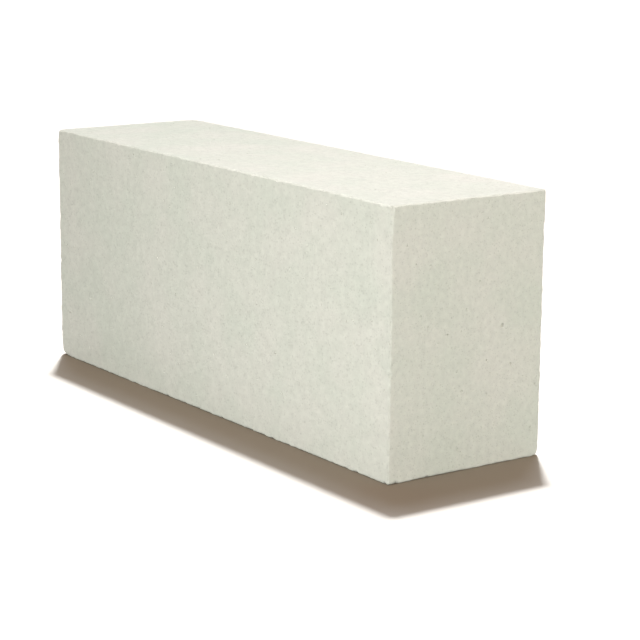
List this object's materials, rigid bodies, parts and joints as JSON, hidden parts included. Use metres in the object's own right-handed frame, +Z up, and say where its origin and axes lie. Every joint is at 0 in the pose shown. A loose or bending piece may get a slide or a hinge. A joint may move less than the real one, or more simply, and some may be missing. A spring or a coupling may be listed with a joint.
{
  "type": "aerated concrete block",
  "caption": "Plain rectangular block of aerated concrete for masonry walls, with wire-cut faces, slightly worn arrises and a small broken bottom corner.",
  "frame": {"origin": "centre of the bottom bed face, on the surface that the block stands on", "axes": "+X along the 600 mm length, +Y through the 175 mm thickness of the wall, +Z up the 250 mm height of the course. The picture looks at the -Y long face and the +X end; the broken corner is at -X, -Y, bottom."},
  "size_m": [0.6, 0.175, 0.25],
  "materials": {
    "aerated_concrete": "matte"
  },
  "bodies": {
    "root": {"aerated_concrete_block": "aerated_concrete"}
  },
  "joints": []
}
